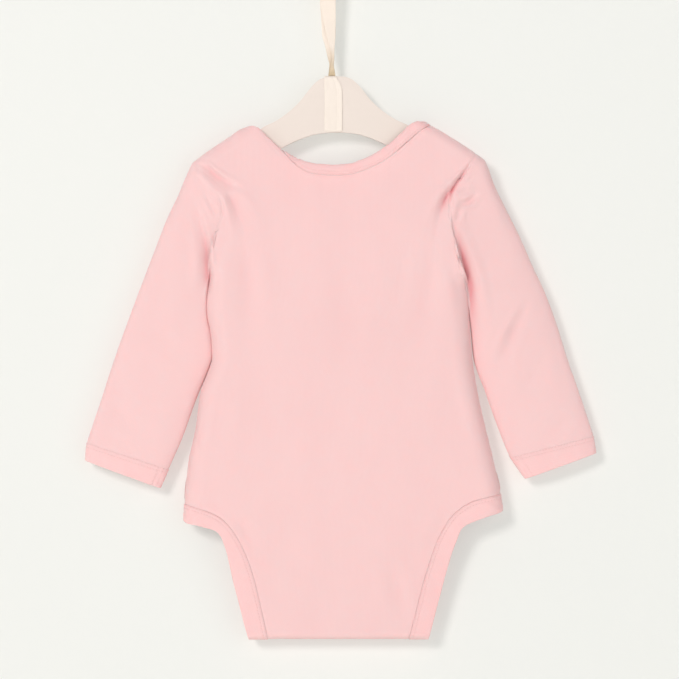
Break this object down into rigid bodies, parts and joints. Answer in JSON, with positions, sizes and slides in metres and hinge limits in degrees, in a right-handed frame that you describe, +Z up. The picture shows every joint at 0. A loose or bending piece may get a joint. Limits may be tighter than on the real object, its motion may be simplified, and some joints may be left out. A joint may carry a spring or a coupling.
{
  "type": "long-sleeve baby bodysuit on a flat hanger with a ribbon loop",
  "caption": "Long-sleeve baby bodysuit with envelope neck and snap crotch, hung flat on a slim hanger from a doubled ribbon, seen from its back.",
  "frame": {"origin": "top of the ribbon's loop, where a hook or nail holds it", "axes": "+Z up; the garment's back faces -Y; the wearer's right side is +X"},
  "size_m": [0.4096, 0.0295, 0.5363],
  "materials": {
    "pink_interlock": "soft matt cotton interlock knit",
    "pink_rib_binding": "soft matt doubled cotton binding",
    "pale_hanger_plate": "painted, matt, pale cream pink",
    "cream_ribbon": "plain woven ribbon, faint satin sheen",
    "pink_snap": "moulded snap cap"
  },
  "bodies": {
    "root": {"back_panel": "pink_interlock", "front_panel": "pink_interlock", "sleeve_left": "pink_interlock", "sleeve_right": "pink_interlock", "cuff_left": "pink_rib_binding", "cuff_right": "pink_rib_binding", "neck_binding_back": "pink_rib_binding", "neck_binding_front": "pink_rib_binding", "leg_binding_left": "pink_rib_binding", "leg_binding_right": "pink_rib_binding", "hanger": "pale_hanger_plate", "hanger_wrap": "cream_ribbon", "ribbon": "cream_ribbon", "snap_cap_1": "pink_snap", "snap_stud_1": "pink_snap", "snap_cap_2": "pink_snap", "snap_stud_2": "pink_snap", "snap_cap_3": "pink_snap", "snap_stud_3": "pink_snap"}
  },
  "joints": []
}
